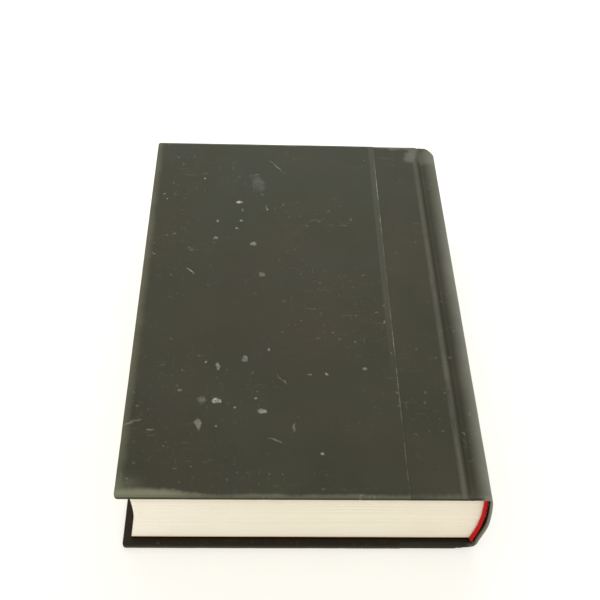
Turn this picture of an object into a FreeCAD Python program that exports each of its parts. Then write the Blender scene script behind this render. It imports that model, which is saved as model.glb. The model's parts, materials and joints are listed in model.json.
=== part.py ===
import FreeCAD, Part
import math
import os
import re

import Sketcher
from FreeCAD import Placement, Rotation, Vector

# A hardback book in a quarter-cloth case: sewn leaves with a rounded spine and the matching hollow
# fore edge, and two boards that are hinged to the hollow case spine by grooved cloth joints.
# Millimetres. The book lies on its front cover with its spine towards +X and its head towards +Y.

# Sizes that can be set by themselves
SIZES = {
    # the sewn leaves, trimmed as one block
    "block_width": 155.6,
    "block_height": 234.0,
    "block_thick": 37.0,
    # how far the middle leaves stand out at the spine, and how far the top ones lean past the bottom ones
    "round_rise": 2.0,
    "spine_lean": 0.7,
    # how far the covers stand out past the leaves
    "fore_square": 3.75,
    "end_square": 3.65,
    # sheet and board thicknesses
    "board": 2.4,
    "side_paper": 0.3,
    "cloth": 0.3,
    "spine_card": 0.5,
    "pastedown": 0.2,
    "flyleaf": 0.2,
    "mull": 0.2,
    "lining": 0.2,
    "glue": 0.05,
    # the case: where paper meets cloth, what is folded in, and what the pastedown leaves bare
    "quarter_width": 27.4,
    "paper_overlap": 3.3,
    "turn_in": 15.0,
    "pastedown_margin": 4.0,
    "mitre_slit": 0.15,
    # rounded edges and corners of the covers
    "edge_round": 0.8,
    "corner_round": 1.6,
    "board_round": 0.9,
    # the grooved joint, measured from the hinge line in the bottom of the groove
    "hinge_gap": 1.7,
    "groove_depth": 2.3,
    "groove_round": 1.4,
    # the case spine: its shoulders stand a little below the covers and its back bulges
    "shoulder_set": 0.8,
    "shoulder_round": 5.0,
    "spine_bulge": 1.2,
    "shoulder_clear": 0.6,
    # linings and bands on the back of the leaves
    "mull_inset": 12.0,
    "lining_inset": 2.5,
    "mull_flange": 25.0,
    "fold_set": 1.0,
    "bead_width": 2.2,
    "bead_height": 1.5,
    "bead_round": 0.65,
    "bead_inset": 1.2,
    "tape_length": 10.0,
}

doc = FreeCAD.newDocument("hardback_book")
sheet = doc.addObject("Spreadsheet::Sheet", "sheet")
for row, (alias, size) in enumerate(SIZES.items(), 1):
    sheet.set(f"A{row}", str(size))
    sheet.setAlias(f"A{row}", alias)
doc.recompute()


def bound(formula):
    """The formula with each size's name made a reference to its cell."""
    def reference(word):
        if word[0] in SIZES:
            return f"sheet.{word[0]}"
        return f"places.{word[0]}" if word[0] in places.PropertiesList else word[0]

    return re.sub(r"[a-z_]+", reference, formula)


def number(formula):
    """The formula's value for the sizes as they are in the sheet."""
    value = places.evalExpression(bound(formula))
    return float(getattr(value, "Value", value))


# Sizes that follow from those above, each worked out once
places = doc.addObject("App::VarSet", "places")


def derived(name, formula):
    """A size that follows from others, kept under its name for the formulas that come after it."""
    places.addProperty("App::PropertyFloat", name)
    places.setExpression(name, bound(formula))
    doc.recompute()


# Thicknesses: of what is folded in, of a whole cover, and of the closed book
derived("turned", "max(side_paper; cloth)")
derived("cover", "side_paper + board + turned + pastedown")
derived("book_half", "cover + flyleaf + block_thick / 2")
derived("book_thick", "2 * book_half")
derived("case_end", "block_height / 2 + end_square")
derived("board_end", "case_end - side_paper")
derived("cloth_end", "board_end + cloth")

# The case spine's section: groove, shoulder and back are arcs that run into each other
derived("arcs_sum", "groove_round + shoulder_round")
derived("arcs_drop", "arcs_sum - groove_depth + shoulder_set")
derived("shoulder_x", "sqrt(arcs_sum ^ 2 - arcs_drop ^ 2)")
derived("shoulder_z", "book_half - shoulder_set - shoulder_round")
derived("back_reach", "shoulder_round + spine_bulge")
derived("spine_reach", "shoulder_x + back_reach")
derived("back_round", "(back_reach ^ 2 + shoulder_z ^ 2 - shoulder_round ^ 2) / (2 * spine_bulge)")
derived("back_x", "spine_reach - back_round")

# The leaves' back: the top leaf clears the inside of the case's shoulder by a set amount
derived("top_set", "round_rise - spine_lean")
derived("bottom_set", "round_rise + spine_lean")
derived("shoulder_inside", "shoulder_round - 2 * cloth - shoulder_clear")
derived("leaf_drop", "shoulder_set + shoulder_round - cover - flyleaf")
derived("block_x", "shoulder_x + sqrt(shoulder_inside ^ 2 - leaf_drop ^ 2) + top_set")
derived("leaf_top", "block_thick / 2")
derived("leaf_x", "-(round_rise ^ 2 + spine_lean ^ 2 + leaf_top ^ 2) / (2 * round_rise)")
derived("leaf_z", "(2 * leaf_x * top_set + top_set ^ 2 + leaf_top ^ 2) / block_thick")
derived("leaf_round", "sqrt(leaf_x ^ 2 + leaf_z ^ 2)")
derived("mull_out", "glue + mull")

# Places across a cover, from the hinge line, which is 0
derived("reach", "block_width - block_x + bottom_set + fore_square")
derived("seam_x", "-quarter_width")
derived("step_x", "seam_x - paper_overlap")
derived("board_x", "-hinge_gap")
derived("hinge_x", "(reach - spine_reach) / 2")
derived("fore_x", "side_paper - reach")
derived("field_x", "turn_in - reach")
derived("field_y", "case_end - turn_in")
derived("paste_x", "pastedown_margin - reach")
derived("paste_y", "case_end - pastedown_margin")
derived("gauze_x", "board_x - mull_flange")

# How far a cut reaches past the piece it is made in
derived("beyond", "board / 2")


def sketch_on(body, name, vertices, bends, shift="0", role="XZ_Plane"):
    """A closed outline in one of the body's own planes. Bend i rounds the side after vertex i.

    Each vertex is placed by its two formulas. A bend is a radius, and the sign of its number says
    which way the side curves: plus bulges to the right of the direction of travel.
    """
    sketch = body.newObject("Sketcher::SketchObject", name)
    plane = next(item for item in body.Origin.OriginFeatures if item.Role == role)
    sketch.AttachmentSupport = (plane, [""])
    sketch.MapMode = "FlatFace"
    sketch.setExpression("AttachmentOffset.Base.z", bound(shift))
    points = [Vector(number(x), number(z), 0) for x, z in vertices]
    for index, start in enumerate(points):
        end = points[(index + 1) % len(points)]
        if index in bends:
            sign, formula = bends[index]
            sketch.addGeometry(bent_side(start, end, sign, number(formula)), False)
        else:
            sketch.addGeometry(Part.LineSegment(start, end), False)
    for index, point in enumerate(points):
        before = (index - 1) % len(points)
        first = end_near(sketch, index, point)
        last = end_near(sketch, before, point)
        sketch.addConstraint(Sketcher.Constraint("Coincident", before, last, index, first))
        for kind, place, formula in zip(("DistanceX", "DistanceY"), point, vertices[index]):
            pin = Sketcher.Constraint(kind, -1, 1, index, first, place)
            pin_name = f"{kind}_{index}"
            sketch.renameConstraint(sketch.addConstraint(pin), pin_name)
            sketch.setExpression(f"Constraints.{pin_name}", bound(formula))
        if index in bends:
            formula = bends[index][1]
            radius = Sketcher.Constraint("Radius", index, number(formula))
            sketch.renameConstraint(sketch.addConstraint(radius), f"Radius_{index}")
            sketch.setExpression(f"Constraints.Radius_{index}", bound(formula))
    return sketch


def bent_side(start, end, sign, radius):
    """The arc from start to end of the given radius, bulging to the right for sign 1, left for -1."""
    half = (end - start) * 0.5
    right = Vector(half.y, -half.x, 0).normalize()
    centre = start + half - right * sign * (radius ** 2 - half.Length ** 2) ** 0.5
    first, last = (start, end) if sign > 0 else (end, start)
    turns = [math.atan2(point.y - centre.y, point.x - centre.x) for point in (first, last)]
    return Part.ArcOfCircle(Part.Circle(centre, Vector(0, 0, 1), radius), *turns)


def end_near(sketch, index, point):
    """1 or 2: the end of a side that lies at the point."""
    side = sketch.Geometry[index]
    return 1 if side.StartPoint.distanceToPoint(point) < side.EndPoint.distanceToPoint(point) else 2


def body_named(name, x, z, turned=False):
    """An empty body at its place in the book, turned over for the front cover's pieces."""
    body = doc.addObject("PartDesign::Body", name)
    place(body, x, z, turned)
    return body


def place(item, x, z, turned=False):
    item.Label = item.Name
    item.Placement = Placement(Vector(), Rotation(Vector(1, 0, 0), 180 if turned else 0))
    item.setExpression("Placement.Base.x", bound(x))
    item.setExpression("Placement.Base.z", bound(z))


def feature(body, kind, sketch, length, centred=True):
    """A pad or pocket of the sketch, reaching as far both ways or going towards the tail only."""
    item = body.newObject(f"PartDesign::{kind}", f"{sketch.Name}_{kind}")
    item.Profile = sketch
    sketch.Visibility = False
    if centred:
        item.Midplane = True
    item.setExpression("Length", bound(length))
    return item


def rounded(body, name, radius, wanted):
    """A fillet on each edge of the body so far that the test picks."""
    doc.recompute()
    base = body.Tip
    names = [f"Edge{i}" for i, edge in enumerate(base.Shape.Edges, 1) if wanted(edge.BoundBox)]
    item = body.newObject("PartDesign::Fillet", name)
    item.Base = (base, names)
    item.setExpression("Radius", bound(radius))
    return item


def box(name, x, y, z, length, width, height):
    """A block from its lowest corner's place and its three sizes, all given as formulas."""
    item = doc.addObject("Part::Box", name)
    for prop, formula in zip(("Length", "Width", "Height"), (length, width, height)):
        item.setExpression(prop, bound(formula))
    for axis, formula in zip("xyz", (x, y, z)):
        item.setExpression(f"Placement.Base.{axis}", bound(formula))
    return item


# Room for rounding when an edge is looked up by its place
SLACK = 1e-3


def flat(low, high):
    """A test for edges whose box lies between two corners, with a little slack."""
    def within(bounds):
        lows = (bounds.XMin, bounds.YMin, bounds.ZMin)
        highs = (bounds.XMax, bounds.YMax, bounds.ZMax)
        above = all(value > limit - SLACK for value, limit in zip(lows, low))
        return above and all(value < limit + SLACK for value, limit in zip(highs, high))

    return within


# The leaves: the spine is rounded, and since all leaves are as wide, the fore edge is hollow to match
block = body_named("text_block", "hinge_x + block_x", "book_half")
leaf_ends = [
    ("-bottom_set", "-block_thick / 2"),
    ("-top_set", "block_thick / 2"),
    ("-top_set - block_width", "block_thick / 2"),
    ("-bottom_set - block_width", "-block_thick / 2"),
]
leaf_section = sketch_on(block, "leaf_section", leaf_ends, {0: (1, "leaf_round"), 2: (-1, "leaf_round")})
feature(block, "Pad", leaf_section, "block_height")


def leaf_back(z):
    """Where the rounded back of the leaves lies at a height above their middle."""
    return f"(leaf_x + sqrt(leaf_round ^ 2 - (({z}) - leaf_z) ^ 2))"


def back_layer(body, name, inner, outer, inset, length, shift="0", centred=True):
    """A layer that follows the back of the leaves from one distance behind it to another."""
    top = f"(block_thick / 2 - {inset})"
    bottom = f"(-{top})"
    corners = [
        (f"{leaf_back(bottom)} + {outer}", bottom),
        (f"{leaf_back(top)} + {outer}", top),
        (f"{leaf_back(top)} + {inner}", top),
        (f"{leaf_back(bottom)} + {inner}", bottom),
    ]
    section = sketch_on(body, name, corners, {0: (1, "leaf_round"), 2: (-1, "leaf_round")}, shift)
    return feature(body, "Pad", section, length, centred)


# The gauze and the paper that are glued over the sewn back
mull = body_named("spine_mull", "hinge_x + block_x", "book_half")
back_layer(mull, "mull_section", "glue", "mull_out", "lining_inset", "block_height - 2 * mull_inset")
lining = body_named("spine_lining", "hinge_x + block_x", "book_half")
back_layer(lining, "lining_section", "mull_out + glue", "mull_out + glue + lining", "lining_inset",
           "block_height")

# The bands at head and tail: a bead on the ends of the leaves and a tape glued down their back
band_starts = {
    "head_band": ("-block_height / 2 - bead_height", "-block_height / 2 - bead_height"),
    "tail_band": ("block_height / 2", "block_height / 2 - tape_length"),
}
for name, (bead_start, tape_start) in band_starts.items():
    band = body_named(name, "hinge_x + block_x", "book_half")
    back_layer(band, f"{name}_bead", "-bead_width", "mull_out", "bead_inset", "bead_height", bead_start,
               False)
    bead_top = number("block_height / 2 + bead_height")
    end_y = bead_top if name == "head_band" else -bead_top
    deep, out = number("-bead_width - 2 * round_rise"), number("mull_out")
    half = number("block_thick / 2 - bead_inset")
    rounded(band, f"{name}_round", "bead_round",
            lambda bounds: flat((deep, end_y, -half), (out, end_y, half))(bounds)
            and bounds.ZLength > half)
    tape_reach = "tape_length + bead_height - bead_round"
    tape_shift = f"{tape_start} + bead_round" if name == "head_band" else tape_start
    back_layer(band, f"{name}_tape", "glue", "mull_out", "lining_inset", tape_reach, tape_shift, False)

# The flyleaves: each lies on the leaves and is folded back as far as the joint
for name, over, leaf_set in (("back", 1, "top_set"), ("front", -1, "bottom_set")):
    spine_edge = f"(block_x - {leaf_set})"
    leaf_low = "(book_half + block_thick / 2)" if over == 1 else "(cover)"
    fold_low = f"({leaf_low} + flyleaf)" if over == 1 else f"({leaf_low} - pastedown)"
    sheets = doc.addObject("Part::MultiFuse", f"{name}_flyleaf")
    sheets.Shapes = [
        box(f"{name}_free_leaf", f"{spine_edge} - block_width", "-block_height / 2", leaf_low,
            "block_width", "block_height", "flyleaf"),
        box(f"{name}_leaf_fold", "0", "-block_height / 2", fold_low,
            f"{spine_edge} - fold_set", "block_height", "pastedown"),
    ]
    sheets.Refine = True
    place(sheets, "hinge_x", "0")


def spine_line(depth):
    """The case spine's section at a depth below its outer face, from the back joint to the front's."""
    groove_x = f"((groove_round + {depth}) * shoulder_x / arcs_sum)"
    groove_fall = f"((groove_round + {depth}) * arcs_drop / arcs_sum)"
    groove_z = f"(book_half - groove_depth + groove_round - {groove_fall})"
    share = f"((back_round - {depth}) / (back_round - shoulder_round))"
    back_x = f"(back_x + (shoulder_x - back_x) * {share})"
    back_z = f"(shoulder_z * {share})"
    upper = [("0", f"(book_half - groove_depth - {depth})"), (groove_x, groove_z), (back_x, back_z)]
    lower = [(x, f"(-{z})") for x, z in reversed(upper)]
    groove, shoulder = f"groove_round + {depth}", f"shoulder_round - {depth}"
    back = f"back_round - {depth}"
    bends = [(1, groove), (-1, shoulder), (-1, back), (-1, shoulder), (1, groove)]
    return upper + lower, bends


def back_band(body, name, outer, inner, half):
    """A band of the case spine's back between two depths, as far as half each side of the middle."""
    def back_at(depth):
        return f"(back_x + sqrt((back_round - ({depth})) ^ 2 - {half} ^ 2))"

    corners = [
        (back_at(outer), f"(-{half})"),
        (back_at(outer), half),
        (back_at(inner), half),
        (back_at(inner), f"(-{half})"),
    ]
    bends = {0: (1, f"back_round - ({outer})"), 2: (-1, f"back_round - ({inner})")}
    return sketch_on(body, name, corners, bends)


# The case spine's cloth: one layer, folded in over the card at head and tail
wrap = body_named("spine_cloth", "hinge_x", "book_half")
outer_line, outer_bends = spine_line("0")
inner_line, inner_bends = spine_line("(2 * cloth)")
wrap_bends = dict(enumerate(outer_bends))
for index, (sign, formula) in enumerate(reversed(inner_bends)):
    wrap_bends[len(outer_line) + index] = (-sign, formula)
wrap_section = sketch_on(wrap, "wrap_section", outer_line + inner_line[::-1], wrap_bends)
feature(wrap, "Pad", wrap_section, "2 * cloth_end")
over_card = back_band(wrap, "over_card", "cloth", "2 * cloth + spine_card", "(shoulder_z + cloth)")
feature(wrap, "Pad", over_card, "2 * cloth_end")
card_slot = back_band(wrap, "card_slot", "cloth", "cloth + spine_card", "shoulder_z")
feature(wrap, "Pocket", card_slot, "2 * board_end")
under_line, under_bends = spine_line("cloth")
between = sketch_on(wrap, "between_turn_ins", [("-cloth", under_line[0][1])] + under_line
                    + [("-cloth", under_line[-1][1])], dict(enumerate(under_bends, 1)))
feature(wrap, "Pocket", between, "2 * (cloth_end - turn_in)")

# The card that stiffens the case spine
card = body_named("spine_card_strip", "hinge_x", "book_half")
card_section = back_band(card, "card_section", "cloth", "cloth + spine_card", "shoulder_z")
feature(card, "Pad", card_section, "2 * board_end")

# Depths below a cover's outer face, and the arc that runs from the board's edge into the groove
derived("inner_face", "side_paper + board")
derived("turn_level", "inner_face + turned")
derived("under_cloth", "-side_paper - cloth")
derived("slot_round", "corner_round - side_paper")
derived("edge_x", "-hinge_gap - board_round")
derived("edge_z", "-side_paper - cloth - board_round")
derived("edge_rise", "-edge_z - groove_depth")
derived("edge_sum", "edge_x ^ 2 + edge_rise ^ 2 - (board_round + cloth) ^ 2")
derived("joint_round", "edge_sum / (2 * (groove_depth - side_paper))")


def joint_line(start_x, depth):
    """The joint's section at a depth below the cloth: over the board, round its edge, into the groove."""
    edge_round = f"(board_round + cloth - {depth})"
    joint_round = f"(joint_round + {depth})"
    span = f"({edge_round} + {joint_round})"
    meet_x = f"(edge_x + (hinge_gap + board_round) * {edge_round} / {span})"
    meet_z = f"(edge_z + (edge_rise + joint_round) * {edge_round} / {span})"
    points = [
        (start_x, f"(-side_paper - {depth})"),
        ("edge_x", f"(-side_paper - {depth})"),
        (meet_x, meet_z),
        ("0", f"(-groove_depth - {depth})"),
    ]
    return points, {1: (-1, edge_round), 2: (1, joint_round)}


for side, level, turned in (("back", "book_thick", False), ("front", "0", True)):
    # The board: set down under the cloth so that paper and cloth are pressed nearly level
    board = body_named(f"{side}_board", "hinge_x", level, turned)
    board_corners = [
        ("fore_x", "-side_paper"),
        ("step_x", "-side_paper"),
        ("step_x", "under_cloth"),
        ("edge_x", "under_cloth"),
        ("board_x", "edge_z"),
        ("board_x", "-inner_face"),
        ("fore_x", "-inner_face"),
    ]
    board_section = sketch_on(board, f"{side}_board_section", board_corners, {3: (-1, "board_round")})
    feature(board, "Pad", board_section, "2 * board_end")
    fore, end, deep = number("fore_x"), number("board_end"), -number("inner_face")
    rounded(board, f"{side}_board_corners", "slot_round",
            lambda bounds: flat((fore, -end, deep), (fore, end, 0))(bounds) and bounds.YLength < SLACK)
    top = -number("side_paper")
    rounded(board, f"{side}_board_edges", "edge_round - side_paper",
            lambda bounds: flat((fore, -end, top), (number("step_x"), end, top))(bounds)
            and not (bounds.XLength < SLACK and bounds.XMax > fore + SLACK))

    # The covering paper: over the board, round three edges and in on the back, with mitred corners
    paper = body_named(f"{side}_side_paper", "hinge_x", level, turned)
    outer = [
        ("-reach", "0"),
        ("seam_x", "0"),
        ("seam_x", "-inner_face - side_paper"),
        ("-reach", "-inner_face - side_paper"),
    ]
    feature(paper, "Pad", sketch_on(paper, f"{side}_paper_outer", outer, {}), "2 * case_end")
    fore, end, deep = -number("reach"), number("case_end"), -number("inner_face + side_paper")
    rounded(paper, f"{side}_paper_corners", "corner_round",
            lambda bounds: flat((fore, -end, deep), (fore, end, 0))(bounds) and bounds.YLength < SLACK)
    seam = number("seam_x")
    rounded(paper, f"{side}_paper_edges", "edge_round",
            lambda bounds: flat((fore, -end, 0), (seam, end, 0))(bounds) and bounds.XMin < seam - SLACK)
    slot = [
        ("fore_x + slot_round", "-board_end"),
        ("seam_x + beyond", "-board_end"),
        ("seam_x + beyond", "board_end"),
        ("fore_x + slot_round", "board_end"),
        ("fore_x", "board_end - slot_round"),
        ("fore_x", "slot_round - board_end"),
    ]
    slot_bends = {3: (1, "slot_round"), 5: (1, "slot_round")}
    board_slot = sketch_on(paper, f"{side}_board_slot", slot, slot_bends, "-side_paper", "XY_Plane")
    feature(paper, "Pocket", board_slot, "board", False)
    window = [
        ("field_x", "-side_paper - beyond"),
        ("seam_x + beyond", "-side_paper - beyond"),
        ("seam_x + beyond", "-inner_face - side_paper - beyond"),
        ("field_x", "-inner_face - side_paper - beyond"),
    ]
    paper_window = sketch_on(paper, f"{side}_paper_window", window, {})
    feature(paper, "Pocket", paper_window, "2 * field_y")

    for end_sign, end_name in ((1, "head"), (-1, "tail")):
        mitre = [
            ("field_x + mitre_slit", f"{end_sign} * (field_y - mitre_slit)"),
            ("field_x + mitre_slit", f"{end_sign} * field_y"),
            ("corner_round - reach + mitre_slit", f"{end_sign} * (case_end - corner_round)"),
            ("corner_round - reach", f"{end_sign} * (case_end - corner_round)"),
            ("corner_round - reach", f"{end_sign} * (case_end - corner_round - mitre_slit)"),
            ("field_x", f"{end_sign} * (field_y - mitre_slit)"),
        ]
        mitre_cut = sketch_on(paper, f"{side}_{end_name}_mitre", mitre, {}, "-inner_face", "XY_Plane")
        feature(paper, "Pocket", mitre_cut, "side_paper", False)

    # The quarter cloth: under the paper's edge, over the board's spine edge and down to the hinge line
    joint = body_named(f"{side}_joint_cloth", "hinge_x", level, turned)
    over_line, over_bends = joint_line("seam_x", "0")
    wrap_line = over_line + [
        ("0", "-groove_depth - 2 * cloth"),
        ("board_x", "-inner_face - cloth"),
        ("seam_x", "-inner_face - cloth"),
    ]
    joint_section = sketch_on(joint, f"{side}_joint_section", wrap_line, over_bends)
    feature(joint, "Pad", joint_section, "2 * cloth_end")
    tongue = [
        ("step_x", "-side_paper"),
        ("seam_x + beyond", "-side_paper"),
        ("seam_x + beyond", "under_cloth"),
        ("step_x", "under_cloth"),
    ]
    feature(joint, "Pad", sketch_on(joint, f"{side}_tongue", tongue, {}), "2 * board_end")
    board_room = [
        ("seam_x - beyond", "under_cloth"),
        ("edge_x", "under_cloth"),
        ("board_x", "edge_z"),
        ("board_x", "-inner_face"),
        ("seam_x - beyond", "-inner_face"),
    ]
    board_room_section = sketch_on(joint, f"{side}_board_room", board_room, {1: (-1, "board_round")})
    feature(joint, "Pocket", board_room_section, "2 * board_end")
    under_line, under_bends = joint_line("seam_x - beyond", "cloth")
    cleared = under_line + [
        ("beyond", "-groove_depth - cloth"),
        ("beyond", "-turn_level - beyond"),
        ("seam_x - beyond", "-turn_level - beyond"),
    ]
    feature(joint, "Pocket", sketch_on(joint, f"{side}_cleared", cleared, under_bends),
            "2 * (cloth_end - turn_in)")

    # The gauze's flange that is glued to the board, under the pastedown
    flange_low = "inner_face" if turned else "book_thick - inner_face - mull"
    flange = box(f"{side}_mull_flange", "hinge_x + gauze_x", "mull_inset - block_height / 2",
                 flange_low, "mull_flange", "block_height - 2 * mull_inset", "mull")
    flange.Label = flange.Name

    # The pastedown: one thickness of paper that steps over the turn-ins, the gauze and the joint
    low = "-turn_level - pastedown"
    slab = box(f"{side}_slab", "paste_x", "-paste_y", low, "-paste_x", "2 * paste_y",
               "turned + pastedown")
    spaces = doc.addObject("Part::MultiFuse", f"{side}_spaces")
    spaces.Shapes = [
        box(f"{side}_fore_strip", "paste_x", "-paste_y", "-turn_level", "field_x - paste_x",
            "2 * paste_y", "turned"),
        box(f"{side}_tail_strip", "paste_x", "-paste_y", "-turn_level", "-paste_x", "paste_y - field_y",
            "turned"),
        box(f"{side}_head_strip", "paste_x", "field_y", "-turn_level", "-paste_x", "paste_y - field_y",
            "turned"),
        box(f"{side}_joint_strip", "board_x", "-paste_y", "-turn_level", "hinge_gap", "2 * paste_y",
            "turned"),
        box(f"{side}_gauze_space", "gauze_x", "-field_y", "-inner_face - mull", "mull_flange",
            "2 * field_y", "mull"),
        box(f"{side}_field", "field_x + pastedown", "pastedown - field_y", low,
            "board_x - field_x - 2 * pastedown", "2 * (field_y - pastedown)", "turned - mull"),
        box(f"{side}_deep_field", "field_x + pastedown", "pastedown - field_y", low,
            "gauze_x - field_x - 2 * pastedown", "2 * (field_y - pastedown)", "turned"),
    ]
    pastedown = doc.addObject("Part::Cut", f"{side}_pastedown")
    pastedown.Base = slab
    pastedown.Tool = spaces
    place(pastedown, "hinge_x", level, turned)

NODES = [item for item in doc.Objects if item.Label in {
    "text_block", "spine_mull", "spine_lining", "head_band", "tail_band", "front_flyleaf",
    "back_flyleaf", "spine_cloth", "spine_card_strip", "front_board", "back_board",
    "front_side_paper", "back_side_paper", "front_joint_cloth", "back_joint_cloth",
    "front_mull_flange", "back_mull_flange", "front_pastedown", "back_pastedown",
}]

doc.recompute()
for item in doc.Objects:
    if {"Invalid", "Error"} & set(item.State):
        raise RuntimeError(f"{item.Label} failed: {item.State}")
os.makedirs("parts", exist_ok=True)
for item in NODES:
    if item.Shape.isNull() or not item.Shape.isValid():
        raise RuntimeError(f"{item.Label} has no valid shape")
for item in NODES:
    item.Shape.exportStep(f"parts/{item.Label}.step")
    bounds = item.Shape.BoundBox
    print(f"{item.Label}: {len(item.Shape.Solids)} solid, {item.Shape.Volume / 1000:.2f} cm3, "
          f"x {bounds.XMin:.2f} {bounds.XMax:.2f}, y {bounds.YMin:.2f} {bounds.YMax:.2f}, "
          f"z {bounds.ZMin:.2f} {bounds.ZMax:.2f}")
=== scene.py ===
import json
import math

import bmesh
import bpy
from mathutils import Matrix, Vector, noise


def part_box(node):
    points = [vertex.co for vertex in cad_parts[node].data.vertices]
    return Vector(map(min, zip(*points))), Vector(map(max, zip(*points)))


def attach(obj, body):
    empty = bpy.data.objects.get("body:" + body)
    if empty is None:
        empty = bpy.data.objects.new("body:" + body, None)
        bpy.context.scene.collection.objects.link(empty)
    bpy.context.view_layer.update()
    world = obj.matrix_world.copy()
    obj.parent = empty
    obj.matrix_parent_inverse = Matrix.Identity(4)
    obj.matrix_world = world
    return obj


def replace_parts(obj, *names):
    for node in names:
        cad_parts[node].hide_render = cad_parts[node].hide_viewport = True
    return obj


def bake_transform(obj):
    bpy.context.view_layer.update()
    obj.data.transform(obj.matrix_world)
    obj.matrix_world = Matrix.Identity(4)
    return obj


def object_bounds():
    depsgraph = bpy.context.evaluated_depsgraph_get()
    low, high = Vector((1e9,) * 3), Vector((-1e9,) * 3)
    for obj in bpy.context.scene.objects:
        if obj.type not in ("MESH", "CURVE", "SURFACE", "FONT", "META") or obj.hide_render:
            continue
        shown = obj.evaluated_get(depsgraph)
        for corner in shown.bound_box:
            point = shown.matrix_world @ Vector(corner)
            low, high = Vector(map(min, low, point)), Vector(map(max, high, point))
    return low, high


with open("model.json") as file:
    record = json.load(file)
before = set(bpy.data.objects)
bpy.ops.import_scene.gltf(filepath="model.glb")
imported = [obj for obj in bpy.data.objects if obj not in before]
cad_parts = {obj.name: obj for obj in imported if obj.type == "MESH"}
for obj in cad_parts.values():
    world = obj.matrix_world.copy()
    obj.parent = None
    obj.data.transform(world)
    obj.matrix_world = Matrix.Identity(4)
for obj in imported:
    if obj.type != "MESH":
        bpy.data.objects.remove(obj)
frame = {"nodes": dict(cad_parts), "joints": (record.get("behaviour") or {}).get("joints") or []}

cad_low, cad_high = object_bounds()

# The leaves: some 370 sheets of cream book paper in sewn sections, trimmed as one block and then
# rounded, so the back bulges and the fore edge is hollow. Each sheet lies a hair off its neighbours.
MM = 0.001
block_low, block_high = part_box("text_block")
leaf_middle = (block_low.z + block_high.z) / 2
leaf_top = (block_high.z - block_low.z) / 2
round_rise = 2.0 * MM
spine_lean = 0.7 * MM
top_set = round_rise - spine_lean
leaf_x = -(round_rise ** 2 + spine_lean ** 2 + leaf_top ** 2) / (2 * round_rise)
leaf_z = (2 * leaf_x * top_set + top_set ** 2 + leaf_top ** 2) / (2 * leaf_top)
leaf_round = math.hypot(leaf_x, leaf_z)
back_middle = block_high.x - leaf_x - leaf_round
block_width = 155.6 * MM


def back_of_leaves(height):
    """How far towards the spine the back of the leaves lies, at a height above their middle."""
    return back_middle + leaf_x + math.sqrt(leaf_round ** 2 - (height - leaf_z) ** 2)


class Wire:
    """One output of a node, so that sums on it can be written as expressions."""

    def __init__(self, nodes, socket):
        self.nodes = nodes
        self.socket = socket

    def sign(operation):
        """The method for one of the signs in an expression."""
        return lambda self, other: self.nodes.maths(operation, self, other)

    __add__ = __radd__ = sign("ADD")
    __sub__ = sign("SUBTRACT")
    __mul__ = __rmul__ = sign("MULTIPLY")
    __truediv__ = sign("DIVIDE")
    __pow__ = sign("POWER")

    def __rsub__(self, other):
        return self.nodes.maths("SUBTRACT", other, self)


class Nodes:
    """A node tree as it is drawn up."""

    def __init__(self, tree):
        self.tree = tree

    def add(self, kind, sockets=None, out=0, **settings):
        """A node with its settings and sockets set; the answer is the named one of its outputs."""
        item = self.tree.nodes.new(kind)
        for setting, value in settings.items():
            setattr(item, setting, value)
        for socket, value in (sockets or {}).items():
            if isinstance(value, Wire):
                self.tree.links.new(value.socket, item.inputs[socket])
            else:
                item.inputs[socket].default_value = value
        return Wire(self, item.outputs[out]) if item.outputs else item

    def maths(self, operation, first, second=0.0):
        """One sum or other operation on numbers."""
        return self.add("ShaderNodeMath", {0: first, 1: second}, operation=operation)

    def step(self, value, low, high):
        """0 up to low, 1 from high on, and smooth between them; low may be the larger one."""
        limits = {"Value": value, "From Min": low, "From Max": high}
        return self.add("ShaderNodeMapRange", limits, interpolation_type="SMOOTHSTEP")

    def mix(self, share, first, second):
        """The first colour, with the given share of the second."""
        sockets = {0: share, 6: first, 7: second}
        return self.add("ShaderNodeMix", sockets, out=2, data_type="RGBA")

    def layered(self, colour, *layers):
        """The colour under layers, each with how much of it shows and its 0 to 255 values."""
        for share, shade in layers:
            colour = self.mix(share, colour, paint(*shade))
        return colour

    def grain(self, place, scale, detail=3.0, rough=0.55, seed=0.0):
        """Cloudy noise from 0 to 1, with that many waves in a metre, or so many along each axis."""
        if isinstance(scale, tuple):
            place, scale = self.add("ShaderNodeMapping", {"Vector": place, "Scale": scale}), 1.0
        sockets = {"Vector": place, "W": seed, "Scale": scale, "Detail": detail, "Roughness": rough}
        return self.add("ShaderNodeTexNoise", sockets, noise_dimensions="4D")

    def vector(self, x=0.0, y=0.0, z=0.0):
        """Three numbers as one vector."""
        return self.add("ShaderNodeCombineXYZ", {"X": x, "Y": y, "Z": z})

    def shaken(self, place, scale, reach):
        """The place moved about by up to that far, so that marks get uneven outlines."""
        jolt = self.add("ShaderNodeTexNoise", {"Vector": place, "Scale": scale, "Detail": 5.0}, out=1)
        jolt = self.add("ShaderNodeVectorMath", {0: jolt, "Scale": reach}, operation="SCALE")
        return self.add("ShaderNodeVectorMath", {0: place, 1: jolt}, operation="ADD")


def paint(red, green, blue):
    """A colour from its 0 to 255 values as a screen shows it."""
    parts = [part / 255 for part in (red, green, blue)]
    linear = [part / 12.92 if part < 0.04 else ((part + 0.055) / 1.055) ** 2.4 for part in parts]
    return (*linear, 1.0)


def finish_named(name):
    """An empty material, its nodes, and the spot of the piece that is coloured."""
    material = bpy.data.materials.new(name)
    material.use_nodes = True
    material.node_tree.nodes.clear()
    nodes = Nodes(material.node_tree)
    return material, nodes, nodes.add("ShaderNodeTexCoord", out="Object")


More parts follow.
